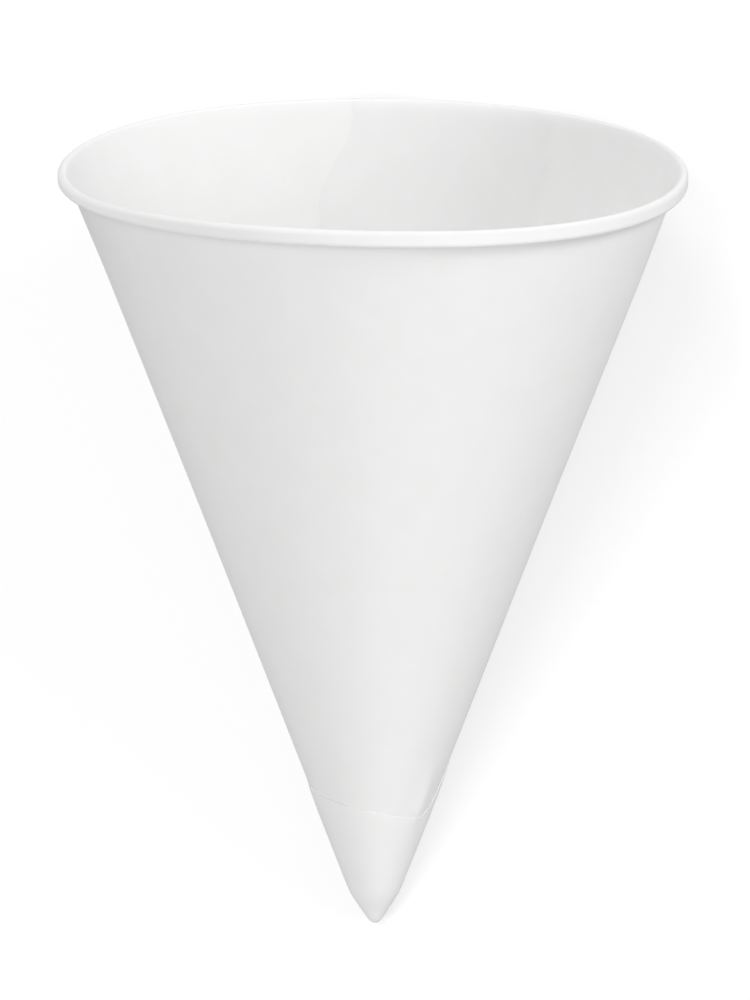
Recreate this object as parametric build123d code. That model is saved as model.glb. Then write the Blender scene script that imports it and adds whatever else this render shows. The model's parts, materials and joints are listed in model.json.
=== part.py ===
# A paper cone cup with a rolled rim, lying on its side as it comes to rest.
#
# The cup is wound from one blank of paper. The blank's inner end starts at the back of the cup, the
# paper goes once round and laps over itself, and its outer end is a seam down the side of the back
# that turns into a tongue, wrapped round the tip. The top edge is rolled outwards into an oval curl.
#
# The cup is modelled upright about +Z, where the outer face of its wall comes to a point at the
# origin. Angles about +Z are counted from the front, -Y, towards +X. It is then laid down with its
# rim towards +X and its heavy, lapped side underneath, where the curl is pressed a little flat.
import os
from math import asin, atan2, cos, degrees, hypot, radians, sin, tan

from build123d import *

# Sizes in millimetres and degrees
rim_diameter = 73.5
cup_height = 92.8
paper_thickness = 0.2

curl_height = 1.95
curl_top_radius = 0.56
curl_bottom_radius = 0.6
curl_bottom_turn = 125.0
rest_flat_depth = 0.17

tip_setback = 3.4
tip_radius = 1.0
tip_half_angle = 32.0
tip_floor = 0.8

inner_end_angle = 188.0
seam_angle_at_rim = 142.0
seam_angle_at_tongue = 70.0
seam_corner_radius = 3.0
tongue_height = 19.6
tongue_tilt = 13.6

# Each bend of the curl is this many flats, which keep within 0.02 mm of a true arc
bend_flat_count = 5

# Places that follow from the sizes
rim_radius = rim_diameter / 2
rim_top = tip_setback + cup_height
rim_bottom = rim_top - curl_height
top_bend = (rim_radius - curl_top_radius, rim_top - curl_top_radius)
bottom_bend = (rim_radius - curl_bottom_radius, rim_bottom + curl_bottom_radius)
half_angle = atan2(*top_bend) - asin((curl_top_radius - paper_thickness) / hypot(*top_bend))
level_thickness = paper_thickness / cos(half_angle)
half_turn = 180.0
quarter_turn = half_turn / 2
wall_bottom = tip_setback / 2
lap_into_curl = paper_thickness / 2
tool_size = 2 * (rim_diameter + cup_height)


# Radius of the wall at a height, at a depth of paper outwards from its inner face
def wall_radius(height, depth):
    return height * tan(half_angle) + (depth - paper_thickness) / cos(half_angle)


# Points along a bend from one angle above the level to another, as a run of short flats
def bend(centre, radius, start, end, flats):
    turns = [start + (end - start) * step / flats for step in range(flats + 1)]
    return [(centre[0] + radius * cos(turn), centre[1] + radius * sin(turn)) for turn in turns]


# Places in the plane through the axis, from (radius, height) points
def in_section(points):
    return [(radius, 0, height) for radius, height in points]


def outlined(points):
    return make_face(Polyline(*in_section(points), close=True))


# One face of the first ply, at a depth of paper: from the wall over the top and in underneath
def curl_face(depth):
    wall_end = radians(half_turn) - half_angle
    tuck = -radians(curl_bottom_turn)
    over = bend(top_bend, curl_top_radius - depth, wall_end, 0, bend_flat_count)
    under = bend(bottom_bend, curl_bottom_radius - depth, 0, tuck, bend_flat_count)
    return over + under


def rolled_face(depth):
    return [(wall_radius(wall_bottom, depth), wall_bottom), *curl_face(depth)]


# One face of the ply that laps over the first: up the wall and just into the curl
def lapped_face(depth):
    top = curl_face(depth)[0]
    end = (top[0] + lap_into_curl * sin(half_angle), top[1] + lap_into_curl * cos(half_angle))
    return [(wall_radius(wall_bottom, depth), wall_bottom), end]


def rolled_section():
    return outlined(rolled_face(0) + rolled_face(paper_thickness)[::-1])


# The lapped ply starts inside the first one, so that the two are one solid
def lapped_section():
    return outlined(lapped_face(paper_thickness / 2) + lapped_face(2 * paper_thickness)[::-1])


# A direction across the axis, by its angle from the front
def across(angle):
    return Vector(sin(radians(angle)), -cos(radians(angle)), 0)


# The paper winds as a spiral: the first half turn about the cup's own axis
def first_half(section):
    turned = revolve(section, Axis.Z, half_turn)
    return Rot(0, 0, inner_end_angle - quarter_turn - half_turn) * turned


# and the second half turn about an axis half a thickness away, with half a thickness more radius
def second_half(section):
    wider = Pos(level_thickness / 2, 0, 0) * section
    turned = Rot(0, 0, inner_end_angle - quarter_turn) * revolve(wider, Axis.Z, half_turn)
    return Pos(across(inner_end_angle) * level_thickness / 2) * turned


# The part of the outer ply that the blank doesn't have: above the tongue and in front of the seam
def open_window():
    outward = across(seam_angle_at_tongue) * cos(radians(tongue_tilt))
    outward -= Vector(0, 0, sin(radians(tongue_tilt)))
    sideways = across(seam_angle_at_tongue + quarter_turn)
    view = Plane(origin=(0, 0, tongue_height), x_dir=sideways, z_dir=outward)
    rim = across(seam_angle_at_rim) * wall_radius(rim_top, 0) + Vector(0, 0, rim_top)
    seam_top = view.to_local_coords(rim)
    reach = tool_size / seam_top.Y
    corners = [
        (0, 0),
        (seam_top.X * reach, seam_top.Y * reach),
        (-tool_size, seam_top.Y * reach),
        (-tool_size, 0),
    ]
    window = Polygon(*corners, align=None)
    window = fillet(window.vertices().sort_by_distance((0, 0, 0))[0], seam_corner_radius)
    seam_side = Rot(0, 0, seam_angle_at_tongue) * Pos(0, -tool_size, 0) * Box(*[2 * tool_size] * 3)
    return view, extrude(view * window, tool_size, both=True) & seam_side


view, window = open_window()
above_tongue = view * Pos(0, tool_size / 2, 0) * Box(2 * tool_size, tool_size, 2 * tool_size)

# The wall and its curl, and the ply that laps over it
wall = first_half(rolled_section()) + second_half(rolled_section())
lap = first_half(lapped_section()) - window
tongue = second_half(lapped_section()) - above_tongue

# The tip is pinched to a blunter point, which leaves a low shoulder round the tongue
tip_angle = radians(tip_half_angle)
tip_centre = (0, tip_setback + tip_radius)
point_height = tip_centre[1] - tip_radius / sin(tip_angle)
shoulder_height = (point_height * tan(tip_angle) + level_thickness) / (tan(tip_angle) - tan(half_angle))
shoulder = (wall_radius(shoulder_height, 2 * paper_thickness), shoulder_height)

# Crushed paper closes the tip as far as the well of the cup, and ends inside the second ply
well = shoulder_height + tip_floor
plug_depth = paper_thickness + paper_thickness / 2
plug_edge = [(wall_radius(height, plug_depth), height) for height in (wall_bottom, well)]
plug = revolve(outlined([(0, wall_bottom), *plug_edge, (0, well)]), Axis.Z)

# Outer bound of the cup, which points its tip: a rounded nose and the sides that lead up from it
bound_side = point_height + rim_diameter / tan(tip_angle)
bound_top = bound_side + rim_top
nose = bend(tip_centre, tip_radius, -radians(quarter_turn), -tip_angle, 2)
sides = [nose[-1], (rim_diameter, bound_side), (rim_diameter, bound_top), (0, bound_top), nose[0]]
bound = revolve(make_face(ThreePointArc(*in_section(nose)) + Polyline(*in_section(sides))), Axis.Z)
upright = (wall + lap + tongue + plug) & bound

# The cup lies on the bottom bend of its curl and on the shoulder of its pointed tip
between = (bottom_bend[0] - shoulder[0], bottom_bend[1] - shoulder[1])
rise = atan2(*between) + asin((curl_bottom_radius - rest_flat_depth) / hypot(*between))
centre = upright.center(CenterOf.MASS)
heavy_side = degrees(atan2(centre.Y, centre.X))
laid_down = Rot(0, quarter_turn - degrees(rise), 0) * Rot(0, 0, -heavy_side)

# Where it lies the curl is pressed flat: paper below the floor goes, and as much is behind it
floor = shoulder[1] * sin(rise) - shoulder[0] * cos(rise)
rest = Pos(rim_bottom * cos(rise) + rim_radius * sin(rise), 0, floor)
flat_reach = (2 * curl_height, rim_radius)
pressed_in = rest * Pos(0, 0, paper_thickness / 2) * Box(*flat_reach, paper_thickness)
pressed_off = rest * Pos(0, 0, -curl_height / 2) * Box(*flat_reach, curl_height)
filled_curl = revolve(outlined(curl_face(0)), Axis.Z)
lying = laid_down * upright + (laid_down * filled_curl & pressed_in) - pressed_off
box = lying.bounding_box()
cone_cup = Pos(-box.center().X, -box.center().Y, -box.min.Z) * lying

os.makedirs("parts", exist_ok=True)
export_step(cone_cup, "parts/cone_cup.step")
print("half angle", round(degrees(half_angle), 3), "axis rise", round(degrees(rise), 3))
print("heavy side from the front", round(heavy_side + quarter_turn, 2))
print("solids", len(cone_cup.solids()), "volume", round(cone_cup.volume, 3), "box", cone_cup.bounding_box())
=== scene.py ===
"""A paper cone cup on a white table: its one blank is cut flat and wound up as the real one is."""
import json
from math import asin, atan2, cos, hypot, pi, radians, sin

import bmesh
import bpy
from mathutils import Matrix, Vector


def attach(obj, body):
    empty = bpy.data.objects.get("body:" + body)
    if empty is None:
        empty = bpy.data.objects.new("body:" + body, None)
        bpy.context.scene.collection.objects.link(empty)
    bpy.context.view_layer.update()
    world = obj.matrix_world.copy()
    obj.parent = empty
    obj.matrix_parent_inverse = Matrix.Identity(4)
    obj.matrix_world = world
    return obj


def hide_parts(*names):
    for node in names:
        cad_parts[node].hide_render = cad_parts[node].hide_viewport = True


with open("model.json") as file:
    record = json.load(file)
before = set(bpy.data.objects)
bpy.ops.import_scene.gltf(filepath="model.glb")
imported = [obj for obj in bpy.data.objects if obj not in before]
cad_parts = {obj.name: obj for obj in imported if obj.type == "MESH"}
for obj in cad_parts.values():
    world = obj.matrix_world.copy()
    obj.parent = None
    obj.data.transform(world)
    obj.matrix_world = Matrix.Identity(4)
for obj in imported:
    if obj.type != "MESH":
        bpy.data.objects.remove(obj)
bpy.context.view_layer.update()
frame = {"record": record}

# The cup is one blank of uncoated white paper. It is cut flat and wound round a cone, so that its ends
# lap and are glued, its low corner wraps the pinched tip as a tongue, and its top edge is rolled out
# into a rim. It lies on its heavy side, with the lap underneath.
mm = 0.001
rim_height = 96.2 * mm
heavy_side = radians(160.1)

# The mouth's place and axis come from the frame, and angles go from the cup's front towards its right
mounts = {mount["name"]: mount for mount in frame["record"]["mounts"]}
rim_centre = Vector(mounts["mouth"]["pos_m"])
cup_axis = Vector(mounts["mouth"]["axis"]).normalized()
underneath = (Vector((0, 0, -1)) + cup_axis * cup_axis.z).normalized()
sideways = cup_axis.cross(underneath)


def across(angle):
    turn = angle - heavy_side
    return underneath * cos(turn) + sideways * sin(turn)


def axes_at(place, *axes):
    return Matrix.Translation(place) @ Matrix(axes).transposed().to_4x4()


def put_in_scene(name, data):
    placed = bpy.data.objects.new(name, data)
    bpy.context.scene.collection.objects.link(placed)
    return placed


front, right = across(0), across(pi / 2)
upright_to_lying = axes_at(rim_centre - cup_axis * rim_height, right, -front, cup_axis)

# The profile that the paper is bent to, from the nose of the tip up the straight wall and round the
# rolled rim. It follows the middle of the paper, in the plane of (radius, height).
paper = 0.2 * mm
rim_radius = 36.78 * mm
curl_height = 1.95 * mm
curl_top_radius = 0.6 * mm - paper / 2
curl_bottom_radius = 0.6 * mm - paper / 2
curl_bottom_turn = radians(125)
curl_steps = 14
flare_length = 1.0 * mm
flare_turn = radians(11)
flare_steps = 8
ply_step = 0.21 * mm
tip_plies = 1.2
nose_radius = 1.0 * mm
nose_height = 3.4 * mm
nose_steps = 10
tip_half_angle = radians(32)
shoulder_round = 1.1 * mm
shoulder_steps = 8


def arc(centre, radius, start, end, steps):
    turns = [start + (end - start) * step / steps for step in range(steps + 1)]
    return [(centre[0] + radius * cos(turn), centre[1] + radius * sin(turn)) for turn in turns]


def run_length(points):
    return sum(hypot(b[0] - a[0], b[1] - a[1]) for a, b in zip(points, points[1:]))


# The wall flares a little below the rim, and its slope follows from the sizes
top_bend = (rim_radius - paper / 2 - curl_top_radius, rim_height - paper / 2 - curl_top_radius)
flare_radius = flare_length / flare_turn
beside_wall = flare_radius * (1 - cos(flare_turn)) - paper / 2 + curl_top_radius * cos(flare_turn)
half_angle = atan2(*top_bend) - asin(beside_wall / hypot(*top_bend))
over = arc(top_bend, curl_top_radius, pi - half_angle - flare_turn, 0, curl_steps)
flare_centre = (over[0][0] + flare_radius * cos(half_angle + flare_turn),
                over[0][1] - flare_radius * sin(half_angle + flare_turn))
flare = arc(flare_centre, flare_radius, pi - half_angle, pi - half_angle - flare_turn, flare_steps)
bottom_bend = (rim_radius - paper / 2 - curl_bottom_radius,
               rim_height - curl_height + paper / 2 + curl_bottom_radius)
under = arc(bottom_bend, curl_bottom_radius, 0, -curl_bottom_turn, curl_steps)

# The tip is pinched to a blunter cone, which meets the wall at a rounded shoulder
nose_inner_radius = nose_radius - paper / 2 - tip_plies * ply_step
nose = arc((0, nose_height + nose_radius), nose_inner_radius, -pi / 2, -tip_half_angle, nose_steps)
side_start = nose[-1]
off_wall = side_start[1] * sin(half_angle) - side_start[0] * cos(half_angle) - paper / 2
side_length = off_wall / (sin(tip_half_angle) * cos(half_angle) - cos(tip_half_angle) * sin(half_angle))
shoulder = (side_start[0] + side_length * sin(tip_half_angle),
            side_start[1] + side_length * cos(tip_half_angle))
shoulder_slant = shoulder[0] * sin(half_angle) + shoulder[1] * cos(half_angle)


def shoulder_bend(share):
    below, above = (1 - share) ** 2 * shoulder_round, share ** 2 * shoulder_round
    radius = shoulder[0] - below * sin(tip_half_angle) + above * sin(half_angle)
    height = shoulder[1] - below * cos(tip_half_angle) + above * cos(half_angle)
    return radius, height


pinched = [*nose, *[shoulder_bend(step / shoulder_steps) for step in range(shoulder_steps + 1)]]
profile_points = [*pinched, *flare, *over[1:], *under]
nose_slant = shoulder_slant + shoulder_round - run_length(pinched)
wall_end_slant = nose_slant + run_length([*pinched, *flare])
paper_end_slant = nose_slant + run_length(profile_points)

profile = bpy.data.curves.new("rim_profile", "CURVE")
profile.dimensions = "3D"
spline = profile.splines.new("POLY")
spline.points.add(len(profile_points) - 1)
for point, (radius, height) in zip(spline.points, profile_points):
    point.co = (radius, 0, height, 1)
profile_object = put_in_scene("rim_profile", profile)

# The blank, cut flat: a fan whose first turn makes the cup. Past that it laps over itself as far as the
# seam, a straight cut, and below it carries on as the tongue.
full_turn = 2 * pi
inner_end_angle = radians(188)
well_slant = 8.5 * mm
tongue_edge = 20.9 * mm
tongue_slope = 1.9 * mm
tongue_low_side = radians(70)
tongue_wave = 0.22 * mm
tongue_wave_count = 2.6
tongue_wave_start = 1.9
seam_distance = 10.35 * mm
seam_direction = radians(-34.3)
seam_least_cosine = 0.05
corner_round = 1.2 * mm


# How far up the slant the tongue, the seam and all of the paper reach
def tongue_top(angle):
    slope = tongue_edge - tongue_slope * cos(angle - tongue_low_side)
    return slope + tongue_wave * sin(tongue_wave_count * angle + tongue_wave_start)


def seam_top(angle):
    if angle < 0:
        return 0
    lean = angle * sin(half_angle) - seam_direction
    return seam_distance / max(cos(lean), seam_least_cosine)


def paper_top(turn):
    angle = inner_end_angle - (turn - full_turn)
    if turn <= full_turn:
        return wall_end_slant
    tongue, seam = tongue_top(angle), seam_top(angle)
    high = (tongue + seam + hypot(tongue - seam, corner_round)) / 2
    return min(high, wall_end_slant)


def clamp(share):
    return min(1, max(0, share))


# The paper's inner end leans to the left below the rim
lean_top = 100.5 * mm
lean_length = 11 * mm
lean_below = radians(8.5)
lean_at_rim = radians(4)
lean_fade = radians(60)


def inner_end_lean(turn, slant):
    share = clamp((lean_top - slant) / lean_length)
    lean = lean_below * share * share * (3 - 2 * share) - lean_at_rim
    return lean * max(0, 1 - turn / lean_fade)


# The glued ends of the paper are pressed into the ply beneath, which leaves only a low step. The tongue
# is held less past its corner.
press_depth = 0.14 * mm
inner_press_depth = 0.17 * mm
press_width = 1.5 * mm
held_until = radians(130)
held_fade = radians(60)
decay = 2.7


def pressed(depth, distance):
    return depth * decay ** (-max(0, distance) / press_width)


def held(angle):
    return clamp((held_until - angle) / held_fade)


# Beside that corner the paper is puckered
pucker_lift = 0.5 * mm
pucker_angle = radians(47)
pucker_width = radians(8)
pucker_slant = 21.6 * mm
pucker_length = 2.6 * mm


def puckered(angle, slant):
    beside = (angle - pucker_angle) / pucker_width
    along = (slant - pucker_slant) / pucker_length
    return pucker_lift * decay ** (-beside ** 2 - along ** 2)


# The tongue isn't glued right up to its corner, and stands off the cup a little there
loose_lift = 0.1 * mm
loose_angle = radians(100)
loose_width = radians(20)
loose_top = 26 * mm
loose_top_fade = 4 * mm
loose_bottom = 9 * mm
loose_bottom_fade = 6 * mm


def loose(angle, slant):
    beside = (angle - loose_angle) / loose_width
    above = clamp((loose_top - slant) / loose_top_fade)
    below = clamp((slant - loose_bottom) / loose_bottom_fade)
    return loose_lift * decay ** (-beside ** 2) * above * below


# The grid of the blank, in columns along its turn and rows up its slant
column_step = radians(2)
columns = round(2 * full_turn / column_step)
tip_rows, wall_rows, curl_rows = 18, 60, 26
closer_at_nose, closer_at_top = 1.3, 1.6
scatter = 1.5 * mm
uv_side = 100 * mm


def slants_up_to(top):
    tip = [nose_slant + (well_slant - nose_slant) * (row / tip_rows) ** closer_at_nose
           for row in range(tip_rows)]
    wall = [top - (top - well_slant) * (1 - row / wall_rows) ** closer_at_top
            for row in range(wall_rows + 1)]
    curl = [wall_end_slant + (paper_end_slant - wall_end_slant) * (row + 1) / curl_rows
            for row in range(curl_rows)]
    return [*tip, *wall, *curl]


blank = bmesh.new()
blank_uv = blank.loops.layers.uv.new("blank")
lift_layer = blank.verts.layers.float.new("lift")
# Mask for painted shade: 1 where a second ply lies behind the first, where the paper is painted darker
painted_ply_shade_layer = blank.verts.layers.float.new("painted_ply_shade")
grid = {}
for column in range(columns + 1):
    turn = column * column_step
    top = paper_top(turn)
    first_ply = turn < full_turn
    for row, slant in enumerate(slants_up_to(top)):
        if row < tip_rows and turn < full_turn - column_step / 2:
            continue
        if row > tip_rows + wall_rows and top < wall_end_slant:
            continue
        flat = (turn - inner_end_lean(turn, slant) - full_turn) * sin(half_angle)
        vertex = blank.verts.new((slant * cos(flat), slant * sin(flat), 0))
        angle = inner_end_angle - (turn - full_turn)
        if first_ply:
            angle -= full_turn
            vertex[lift_layer] = pressed(inner_press_depth, turn * slant * sin(half_angle))
            vertex[painted_ply_shade_layer] = clamp((paper_top(turn + full_turn) - slant) / scatter)
        else:
            vertex[lift_layer] = loose(angle, slant) - pressed(press_depth, top - slant) * held(angle)
        vertex[lift_layer] += puckered(angle if angle <= pi else angle - full_turn, slant)
        grid[column, row] = vertex
for column in range(columns):
    for row in range(tip_rows + wall_rows + curl_rows):
        corners = [(column, row), (column + 1, row), (column + 1, row + 1), (column, row + 1)]
        if all(corner in grid for corner in corners):
            face = blank.faces.new([grid[corner] for corner in corners])
            for loop in face.loops:
                loop[blank_uv].uv = loop.vert.co.xy / uv_side
blank_mesh = bpy.data.meshes.new("paper_blank")
blank.to_mesh(blank_mesh)
blank.free()
blank_object = put_in_scene("paper_blank", blank_mesh)

# The white paper: uncoated and matt, with a faint cloudy formation, fibres and a soft tooth. Where a
# second ply lies behind it, it is painted a little darker. This is painted shade for the light that one
# ply lets through and two plies keep out.
paper_white = bpy.data.materials.new("white_cup_paper")
paper_white.use_nodes = True
nodes, links = paper_white.node_tree.nodes, paper_white.node_tree.links
surface = nodes["Principled BSDF"]
surface.inputs["Specular IOR Level"].default_value = 0.25
surface.inputs["Roughness"].default_value = 0.85
place = nodes.new("ShaderNodeTexCoord")
clouds = nodes.new("ShaderNodeTexNoise")
clouds.inputs["Scale"].default_value = 260
clouds.inputs["Detail"].default_value = 4
fibres = nodes.new("ShaderNodeTexNoise")
fibres.inputs["Scale"].default_value = 2600
fibres.inputs["Detail"].default_value = 3
tone = nodes.new("ShaderNodeMapRange")
tone.inputs["From Min"].default_value = 0.35
tone.inputs["From Max"].default_value = 0.65
colour = nodes.new("ShaderNodeMix")
colour.data_type = "RGBA"
colour.inputs["A"].default_value = (0.868, 0.868, 0.864, 1)
colour.inputs["B"].default_value = (0.880, 0.880, 0.877, 1)
# Painted shade: the colour is multiplied darker where a second ply lies behind, in place of light shining
# through
painted_ply_shade = nodes.new("ShaderNodeAttribute")
painted_ply_shade.attribute_name = "painted_ply_shade"
ply_shade_darkening = nodes.new("ShaderNodeMix")
ply_shade_darkening.data_type = "RGBA"
ply_shade_darkening.blend_type = "MULTIPLY"
ply_shade_darkening.inputs["B"].default_value = (0.975, 0.975, 0.976, 1)
bump = nodes.new("ShaderNodeBump")
bump.inputs["Strength"].default_value = 0.25
bump.inputs["Distance"].default_value = 0.02 * mm
links.new(place.outputs["Object"], clouds.inputs["Vector"])
links.new(place.outputs["Object"], fibres.inputs["Vector"])
links.new(clouds.outputs["Fac"], tone.inputs["Value"])
links.new(tone.outputs["Result"], colour.inputs["Factor"])
links.new(painted_ply_shade.outputs["Fac"], ply_shade_darkening.inputs["Factor"])
links.new(colour.outputs["Result"], ply_shade_darkening.inputs["A"])
links.new(ply_shade_darkening.outputs["Result"], surface.inputs["Base Color"])
links.new(fibres.outputs["Fac"], bump.inputs["Height"])
links.new(bump.outputs["Normal"], surface.inputs["Normal"])

# Winding: a point of the flat blank keeps its distance from the fan's centre along the profile, and
# its angle in the fan becomes a turn round the cup, one paper's thickness further out at each turn.
sizes = {
    "Half Angle": half_angle,
    "Inner End Angle": inner_end_angle,
    "Nose Slant": nose_slant,
    "Shoulder Slant": shoulder_slant,
    "Tip Plies": tip_plies,
    "Ply Step": ply_step,
    "Paper Thickness": paper,
    "Rim Slant": wall_end_slant,
    "Rim Height": rim_height,
    "Rim Drop": 0.17 * mm,
    "Rim Shift": 0.2 * mm,
    "Rim Lean": 0.315 * mm,
    "Rim Lean Angle": radians(240),
    "Rim Saddle": 0.323 * mm,
    "Rim Saddle Angle": radians(-12),
    "Rim Lobes": 0.182 * mm,
    "Rim Lobes Angle": radians(-8),
    "Rim Waves From": 50 * mm,
    "Rim Shift From": 90 * mm,
    "Curl Wander": 0.1 * mm,
    "Rim Dent": 0.3 * mm,
    "Rim Dent Angle": radians(-82),
    "Rim Dent Sharpness": 4.0,
    "Rim Dent Squash": 0.28,
    "Squash From": 0.5 * mm,
    "Squash Full": 1.6 * mm,
    "Wall Wave": 0.22 * mm,
    "Wall Wave Along": 8.0,
    "Wall Wave From": 10 * mm,
    "Wall Wave Full": 30 * mm,
    "Wall Wave Fades": 85 * mm,
    "Seed": 7.0,
}
winding = bpy.data.node_groups.new("wind_up_blank", "GeometryNodeTree")
sockets = winding.interface
sockets.new_socket("Geometry", in_out="INPUT", socket_type="NodeSocketGeometry")
sockets.new_socket("Geometry", in_out="OUTPUT", socket_type="NodeSocketGeometry")
socket_ids = {}
for name, value in sizes.items():
    socket = sockets.new_socket(name, in_out="INPUT", socket_type="NodeSocketFloat")
    socket.default_value = value
    socket_ids[name] = socket.identifier
for name, kind in (("Profile", "NodeSocketObject"), ("Paper", "NodeSocketMaterial")):
    socket_ids[name] = sockets.new_socket(name, in_out="INPUT", socket_type=kind).identifier
given = winding.nodes.new("NodeGroupInput").outputs
group_out = winding.nodes.new("NodeGroupOutput")


def feed(node, number, value):
    if isinstance(value, bpy.types.NodeSocket):
        winding.links.new(value, node.inputs[number])
    else:
        node.inputs[number].default_value = value


def math(operation, *values):
    node = winding.nodes.new("ShaderNodeMath")
    node.operation = operation
    for number, value in enumerate(values):
        feed(node, number, value)
    return node.outputs[0]


def ramp(value, low, high):
    node = winding.nodes.new("ShaderNodeMapRange")
    node.interpolation_type = "SMOOTHSTEP"
    for number, each in enumerate((value, low, high, 0.0, 1.0)):
        feed(node, number, each)
    return node.outputs[0]


def split(vector):
    node = winding.nodes.new("ShaderNodeSeparateXYZ")
    winding.links.new(vector, node.inputs[0])
    return node.outputs


def combine(*values):
    node = winding.nodes.new("ShaderNodeCombineXYZ")
    for number, value in enumerate(values):
        feed(node, number, value)
    return node.outputs[0]


# Where a point of the blank comes to lie: its distance up the slant, its turn and its angle
flat = split(winding.nodes.new("GeometryNodeInputPosition").outputs[0])
slant = math("SQRT", math("ADD", math("MULTIPLY", flat[0], flat[0]), math("MULTIPLY", flat[1], flat[1])))
fan_angle = math("ARCTAN2", flat[1], flat[0])
turn = math("ADD", math("DIVIDE", fan_angle, math("SINE", given["Half Angle"])), full_turn)
angle = math("SUBTRACT", given["Inner End Angle"], turn)

# How many plies it has beneath it. Each is gained over the later half of a turn.
turns = math("MAXIMUM", math("DIVIDE", turn, full_turn), 0.0)
late = math("MAXIMUM", math("SUBTRACT", math("FRACT", turns), 0.5), 0.0)
gained = math("SUBTRACT", 0.5, math("MULTIPLY", math("COSINE", math("MULTIPLY", late, full_turn)), 0.5))
plies = math("ADD", math("FLOOR", turns), gained)
off_nose = ramp(slant, given["Nose Slant"], given["Shoulder Slant"])
spread = math("MULTIPLY", math("SUBTRACT", plies, given["Tip Plies"]), off_nose)
stand_off = math("MULTIPLY", math("ADD", given["Tip Plies"], spread), given["Ply Step"])
lift = winding.nodes.new("GeometryNodeInputNamedAttribute")
lift.data_type = "FLOAT"
lift.inputs["Name"].default_value = "lift"
stand_off = math("ADD", stand_off, lift.outputs[0])

# Its place on the profile, and the wall's direction there, which the curl keeps
profile_info = winding.nodes.new("GeometryNodeObjectInfo")
winding.links.new(given["Profile"], profile_info.inputs["Object"])


def sample_profile(at_slant, output):
    sampled = winding.nodes.new("GeometryNodeSampleCurve")
    sampled.mode = "LENGTH"
    winding.links.new(profile_info.outputs["Geometry"], sampled.inputs["Curves"])
    winding.links.new(math("SUBTRACT", at_slant, given["Nose Slant"]), sampled.inputs["Length"])
    return split(sampled.outputs[output])


below_curl = math("MINIMUM", slant, math("SUBTRACT", given["Rim Slant"], given["Paper Thickness"]))
on_profile = sample_profile(slant, "Position")
along = sample_profile(below_curl, "Tangent")


# The wall is wavy between the tip and the rim
def noise(vector, scale):
    node = winding.nodes.new("ShaderNodeTexNoise")
    node.noise_dimensions = "4D"
    winding.links.new(vector, node.inputs["Vector"])
    winding.links.new(given["Seed"], node.inputs["W"])
    node.inputs["Scale"].default_value = scale
    return node


up_the_wall = math("MULTIPLY", slant, given["Wall Wave Along"])
wave = noise(combine(math("SINE", angle), math("COSINE", angle), up_the_wall), 1.3)
wave.inputs["Detail"].default_value = 1.0
waviness = math("MULTIPLY", math("SUBTRACT", wave.outputs[0], 0.5), given["Wall Wave"])
above_tip = ramp(slant, given["Wall Wave From"], given["Wall Wave Full"])
below_rim = math("SUBTRACT", 1.0, ramp(slant, given["Wall Wave Fades"], given["Rim Slant"]))
stand_off = math("ADD", stand_off, math("MULTIPLY", waviness, math("MULTIPLY", above_tip, below_rim)))
radius = math("ADD", on_profile[0], math("MULTIPLY", along[2], stand_off))
height = math("SUBTRACT", on_profile[2], math("MULTIPLY", along[0], stand_off))


# The mouth leans, is saddle-shaped and has three low lobes, and the whole rim sits a little to the left
def rim_wave(count, name):
    turned = math("MULTIPLY", math("SUBTRACT", angle, given[name + " Angle"]), count)
    return math("MULTIPLY", math("COSINE", turned), given[name])


wander = noise(combine(math("SINE", angle), math("COSINE", angle), 0.0), 5.0)
uneven = math("MULTIPLY", math("SUBTRACT", wander.outputs[0], 0.5), given["Curl Wander"])
lean_and_saddle = math("ADD", rim_wave(1.0, "Rim Lean"), rim_wave(2.0, "Rim Saddle"))
waves = math("ADD", lean_and_saddle, rim_wave(3.0, "Rim Lobes"))
raise_by = math("SUBTRACT", math("ADD", waves, uneven), given["Rim Drop"])
towards_rim = ramp(slant, given["Rim Waves From"], given["Rim Slant"])
height = math("ADD", height, math("MULTIPLY", raise_by, towards_rim))
shift_by = math("MULTIPLY", given["Rim Shift"], ramp(slant, given["Rim Shift From"], given["Rim Slant"]))

# At its left end the rim is dented, and its curl squashed
dent_side = math("MAXIMUM", math("COSINE", math("SUBTRACT", angle, given["Rim Dent Angle"])), 0.0)
dent = math("POWER", dent_side, given["Rim Dent Sharpness"])
past_top = math("SUBTRACT", slant, given["Rim Slant"])
in_curl = ramp(past_top, given["Squash From"], given["Squash Full"])
squash = math("MULTIPLY", math("MULTIPLY", dent, given["Rim Dent Squash"]), in_curl)
height = math("ADD", height, math("MULTIPLY", math("SUBTRACT", given["Rim Height"], on_profile[2]), squash))
height = math("SUBTRACT", height, math("MULTIPLY", math("MULTIPLY", dent, given["Rim Dent"]), towards_rim))

to_the_right = math("SUBTRACT", math("MULTIPLY", radius, math("SINE", angle)), shift_by)
to_the_back = math("MULTIPLY", math("MULTIPLY", radius, math("COSINE", angle)), -1.0)
wound = winding.nodes.new("GeometryNodeSetPosition")
real = winding.nodes.new("GeometryNodeRealizeInstances")
dressed = winding.nodes.new("GeometryNodeSetMaterial")
winding.links.new(given["Geometry"], wound.inputs["Geometry"])
winding.links.new(combine(to_the_right, to_the_back, height), wound.inputs["Position"])
winding.links.new(wound.outputs[0], real.inputs[0])
winding.links.new(real.outputs[0], dressed.inputs["Geometry"])
winding.links.new(given["Paper"], dressed.inputs["Material"])
winding.links.new(dressed.outputs[0], group_out.inputs[0])

wind_up = blank_object.modifiers.new("wind_up", "NODES")
wind_up.node_group = winding
for name, value in (*sizes.items(), ("Profile", profile_object), ("Paper", paper_white)):
    wind_up[socket_ids[name]] = value


def finished_mesh(piece):
    bpy.context.view_layer.update()
    return bpy.data.meshes.new_from_object(piece.evaluated_get(bpy.context.evaluated_depsgraph_get()))


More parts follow.
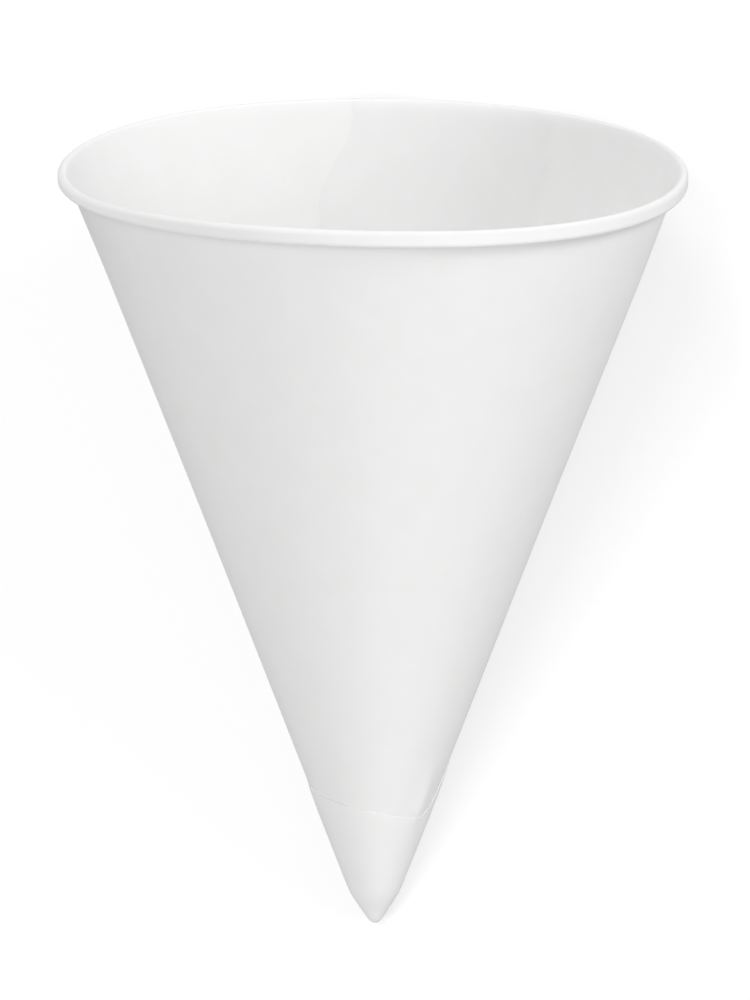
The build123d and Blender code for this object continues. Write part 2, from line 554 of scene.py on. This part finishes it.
# The wound paper is laid down, its ends meet at the nose, and it rests on a pressed spot of the rim
nose_gap = 0.005 * mm
ply_gap = 0.003 * mm
sheet = finished_mesh(blank_object)
sheet.transform(upright_to_lying)
joined = bmesh.new()
joined.from_mesh(sheet)
nose_end = min(vertex.co.dot(cup_axis) for vertex in joined.verts)
nose_ring = [vertex for vertex in joined.verts if vertex.co.dot(cup_axis) < nose_end + nose_gap]
nose_point = sum((vertex.co for vertex in nose_ring), Vector()) / len(nose_ring)
bmesh.ops.pointmerge(joined, verts=nose_ring, merge_co=nose_point)
bmesh.ops.remove_doubles(joined, verts=joined.verts, dist=ply_gap)
for vertex in joined.verts:
    vertex.co.z = max(vertex.co.z, paper / 2)
joined.to_mesh(sheet)
joined.free()

# The sheet gets the paper's thickness
sharp_edge = radians(35)
cup = put_in_scene("paper_cup", sheet)
thick = cup.modifiers.new("paper_thickness", "SOLIDIFY")
thick.thickness = paper
thick.offset = 0
thick.use_even_offset = True
thick.use_quality_normals = True
solid = finished_mesh(cup)
cup.modifiers.clear()
cup.data = solid
solid.shade_smooth()
solid.set_sharp_from_angle(angle=sharp_edge)
bpy.data.objects.remove(blank_object)
bpy.data.objects.remove(profile_object)
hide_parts("cone_cup")
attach(cup, "root")

# The table is a plain white board. It looks white to the camera and keeps the cup's shadow, and it
# throws less light back than white would, so that the sides of the cup stay grey.
reach = 3.0
board_corners = [(-reach, -reach, 0), (reach, -reach, 0), (reach, reach, 0), (-reach, reach, 0)]
floor_mesh = bpy.data.meshes.new("floor")
floor_mesh.from_pydata(board_corners, [], [(0, 1, 2, 3)])
floor = put_in_scene("floor", floor_mesh)
floor_white = bpy.data.materials.new("white_table")
floor_white.use_nodes = True
nodes, links = floor_white.node_tree.nodes, floor_white.node_tree.links
nodes.clear()


# Rays that show a thing to the camera, straight or in a gloss or through a clear thing
def seen_rays(nodes, links):
    rays = nodes.new("ShaderNodeLightPath")
    seen = rays.outputs["Is Camera Ray"]
    for kind in ("Is Glossy Ray", "Is Transmission Ray"):
        either = nodes.new("ShaderNodeMath")
        either.operation = "MAXIMUM"
        links.new(seen, either.inputs[0])
        links.new(rays.outputs[kind], either.inputs[1])
        seen = either.outputs[0]
    return seen


bounced = nodes.new("ShaderNodeBsdfDiffuse")
bounced.inputs["Color"].default_value = (0.15, 0.15, 0.15, 1)
shown = nodes.new("ShaderNodeBsdfDiffuse")
shown.inputs["Color"].default_value = (0.5, 0.5, 0.5, 1)
glow = nodes.new("ShaderNodeEmission")
glow.inputs["Strength"].default_value = 0.57
added = nodes.new("ShaderNodeAddShader")
mixed = nodes.new("ShaderNodeMixShader")
output = nodes.new("ShaderNodeOutputMaterial")
links.new(seen_rays(nodes, links), mixed.inputs["Fac"])
links.new(bounced.outputs[0], mixed.inputs[1])
links.new(shown.outputs[0], added.inputs[0])
links.new(glow.outputs[0], added.inputs[1])
links.new(added.outputs[0], mixed.inputs[2])
links.new(mixed.outputs[0], output.inputs["Surface"])
floor_mesh.materials.append(floor_white)

# The studio: a white backdrop, a weak and even light from all round, and six round soft boxes. Five
# stand low round the cup, so that its rim is light and its edges stay grey, and one hangs overhead.
world = bpy.data.worlds.new("studio")
bpy.context.scene.world = world
world.use_nodes = True
nodes, links = world.node_tree.nodes, world.node_tree.links
room = nodes["Background"]
room.inputs["Color"].default_value = (1, 1, 1, 1)
room.inputs["Strength"].default_value = 0.3
backdrop = nodes.new("ShaderNodeBackground")
backdrop.inputs["Color"].default_value = (1, 1, 1, 1)
chosen = nodes.new("ShaderNodeMixShader")
links.new(seen_rays(nodes, links), chosen.inputs["Fac"])
links.new(room.outputs[0], chosen.inputs[1])
links.new(backdrop.outputs[0], chosen.inputs[2])
links.new(chosen.outputs[0], nodes["World Output"].inputs["Surface"])
soft_box_size = 0.4
soft_box_distance = 1.0


# Its bearing is counted from the mouth's side of the table, anticlockwise from above, in degrees
def soft_box(name, bearing, rise, power):
    lamp = bpy.data.lights.new(name, "AREA")
    lamp.shape = "DISK"
    lamp.size = soft_box_size
    lamp.energy = power
    level = cos(radians(rise))
    direction = Vector((cos(radians(bearing)) * level, sin(radians(bearing)) * level, sin(radians(rise))))
    lamp_object = put_in_scene(name, lamp)
    lamp_object.location = direction * soft_box_distance
    lamp_object.rotation_euler = direction.to_track_quat("Z", "Y").to_euler()


soft_box("tip_box", -180, 20, 2.9)
soft_box("right_box", -90, 20, 2.8)
soft_box("mouth_right_box", -60, 20, 4.0)
soft_box("mouth_left_box", 30, 20, 4.5)
soft_box("left_box", 135, 40, 1.8)
soft_box("top_box", 0, 85, 1.6)

# The camera looks down on the lying cup, so that in the picture it hangs upright as in the photograph.
view_rise = radians(14.631)
view_distance = 1.00995
middle_below_rim = 40.65 * mm
lens_to_sensor = 8.56
towards_camera = front * cos(view_rise) + cup_axis * sin(view_rise)
picture_up = cup_axis * cos(view_rise) - front * sin(view_rise)
look_at = rim_centre - cup_axis * middle_below_rim
camera = bpy.data.cameras.new("camera")
camera.sensor_width = 36
camera.lens = camera.sensor_width * lens_to_sensor
camera.clip_start = 0.01
camera_object = put_in_scene("camera", camera)
camera_object.matrix_world = axes_at(
    look_at + towards_camera * view_distance, right, picture_up, towards_camera)
bpy.context.scene.camera = camera_object
bpy.context.scene.view_settings.view_transform = "Standard"
